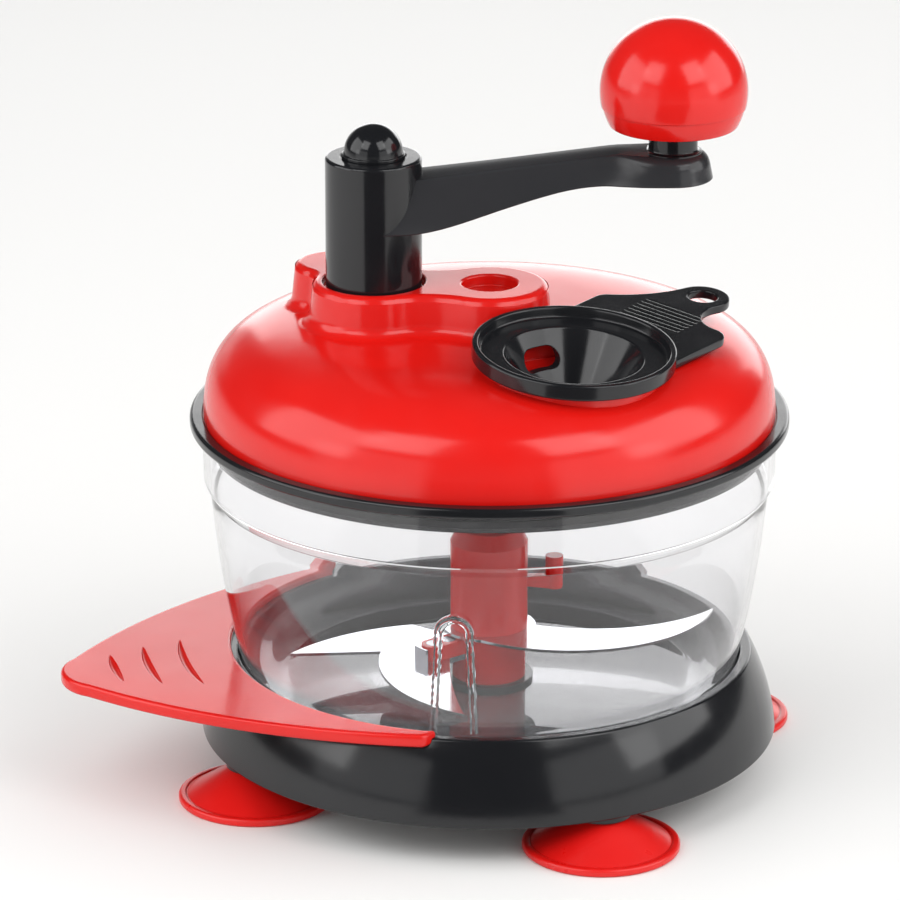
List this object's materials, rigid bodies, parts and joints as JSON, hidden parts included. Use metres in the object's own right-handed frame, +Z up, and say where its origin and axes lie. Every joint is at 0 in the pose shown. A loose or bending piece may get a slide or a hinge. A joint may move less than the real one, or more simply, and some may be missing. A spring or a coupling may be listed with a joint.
{
  "type": "crank food chopper",
  "caption": "Hand cranked food chopper with a clear bowl, steel blades on a red column, domed red lid with a ball-knob crank, an egg separator in the feed port and suction cups.",
  "frame": {"origin": "centre of the footprint's bounding box, on the table under the suction cups", "axes": "+Z up along the bowl's axis, which stands 19.5 mm towards +X; +X from the side handle towards the crank's ball knob at rest; +Y away from the feed port's side"},
  "size_m": [0.2468, 0.2078, 0.2585],
  "materials": {
    "red_plastic": "gloss",
    "black_plastic": "gloss",
    "clear_plastic": "clear gloss",
    "red_rubber": "satin",
    "black_rubber": "matte",
    "polished_steel": "polished",
    "steel": "satin",
    "brass": "satin",
    "white_nylon": "matte"
  },
  "bodies": {
    "base": {"base_shell": "black_plastic", "base_bottom_plate": "black_plastic", "base_plate_screws": "steel", "stay_handle": "red_plastic", "stay_handle_screws": "steel", "suction_cup_1": "red_rubber", "suction_cup_2": "red_rubber", "suction_cup_3": "red_rubber", "suction_cup_4": "red_rubber"},
    "bowl": {"bowl": "clear_plastic", "bowl_spindle_pin": "steel", "thrust_washer": "black_plastic"},
    "blade_rotor": {"blade_column": "red_plastic", "column_sleeve": "red_plastic", "column_bush": "brass", "upper_blade": "polished_steel", "lower_blade_left": "polished_steel", "lower_blade_front": "polished_steel", "blade_rivets": "steel"},
    "lid": {"lid_shell": "red_plastic", "lid_inner_plate": "black_plastic", "lid_seal": "black_rubber", "lid_screws": "steel", "crank_bush": "brass", "spindle_top_bush": "brass", "spindle_bottom_bush": "brass"},
    "drive": {"drive_spindle": "red_plastic", "pinion": "white_nylon", "pinion_clip": "steel"},
    "crank": {"crank_arm": "black_plastic", "crank_shaft": "steel", "crank_gear": "white_nylon", "gear_washer": "steel", "gear_screw": "steel", "hub_screw": "steel", "hub_cap": "black_plastic", "knob_pin": "steel", "knob_washer": "steel"},
    "knob": {"knob_shell": "red_plastic", "knob_base": "red_plastic"},
    "egg_separator": {"egg_separator": "black_plastic"}
  },
  "joints": [
    {"name": "bowl_lift", "type": "slide", "parent": "base", "child": "bowl", "axis": [0, 0, 1], "range_m": [0, 0.06]},
    {"name": "rotor_turn", "type": "hinge", "parent": "bowl", "child": "blade_rotor", "pos_m": [0.0195, 0, 0.0314], "axis": [0, 0, 1], "continuous": true},
    {"name": "lid_lift", "type": "slide", "parent": "bowl", "child": "lid", "axis": [0, 0, 1], "range_m": [0, 0.06]},
    {"name": "crank_turn", "type": "hinge", "parent": "lid", "child": "crank", "pos_m": [-0.0189, 0.003, 0.167], "axis": [0, 0, 1], "continuous": true},
    {"name": "spindle_turn", "type": "hinge", "parent": "lid", "child": "drive", "pos_m": [0.0195, 0, 0.1215], "axis": [0, 0, 1], "continuous": true},
    {"name": "knob_turn", "type": "hinge", "parent": "crank", "child": "knob", "pos_m": [0.0798, 0.00386, 0.2225], "axis": [0, 0, 1], "continuous": true},
    {"name": "separator_lift", "type": "slide", "parent": "lid", "child": "egg_separator", "axis": [0.0536, -0.0918, 0.9943], "range_m": [0, 0.02]}
  ],
  "couplings": [
    {"joint": "spindle_turn", "follows": "crank_turn", "ratio": -4.1333},
    {"joint": "rotor_turn", "follows": "crank_turn", "ratio": -4.1333}
  ]
}
